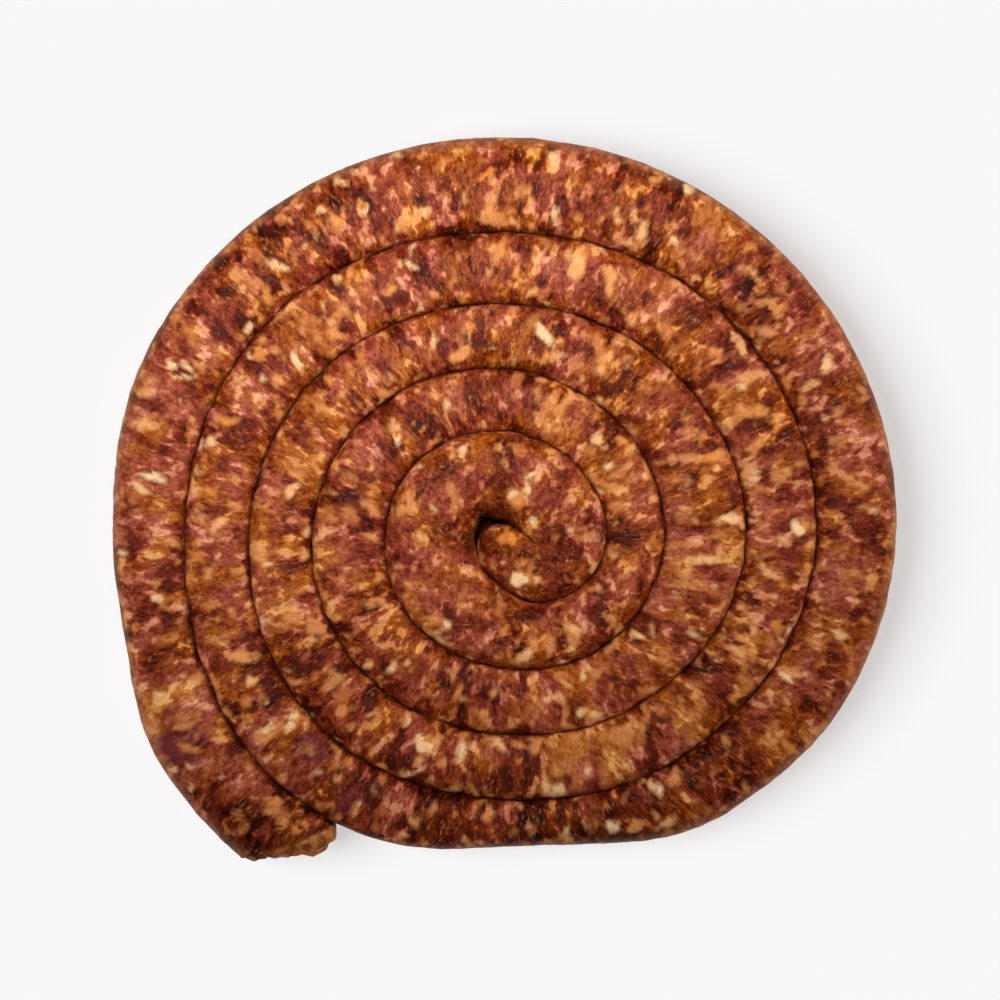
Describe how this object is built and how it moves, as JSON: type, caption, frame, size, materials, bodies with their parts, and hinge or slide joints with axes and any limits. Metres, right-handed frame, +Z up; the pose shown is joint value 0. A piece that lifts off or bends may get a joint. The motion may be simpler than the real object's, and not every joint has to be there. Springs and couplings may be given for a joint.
{
  "type": "fresh sausage coil",
  "caption": "Fresh coarse sausage, one long unlinked rope of meat in its skin, wound flat into a round coil that lies on a table and ends in a rough cut.",
  "frame": {"origin": "middle of the coil's footprint, on the surface it lies on", "axes": "+Z up, the coil's thickness; +X along its longest side, with the cut end at -X -Y"},
  "size_m": [0.2904, 0.2688, 0.0258],
  "materials": {
    "sausage": "moist thin natural casing over coarse marbled meat, a subdued satin gloss"
  },
  "bodies": {
    "root": {"sausage_coil": "sausage"}
  },
  "joints": []
}
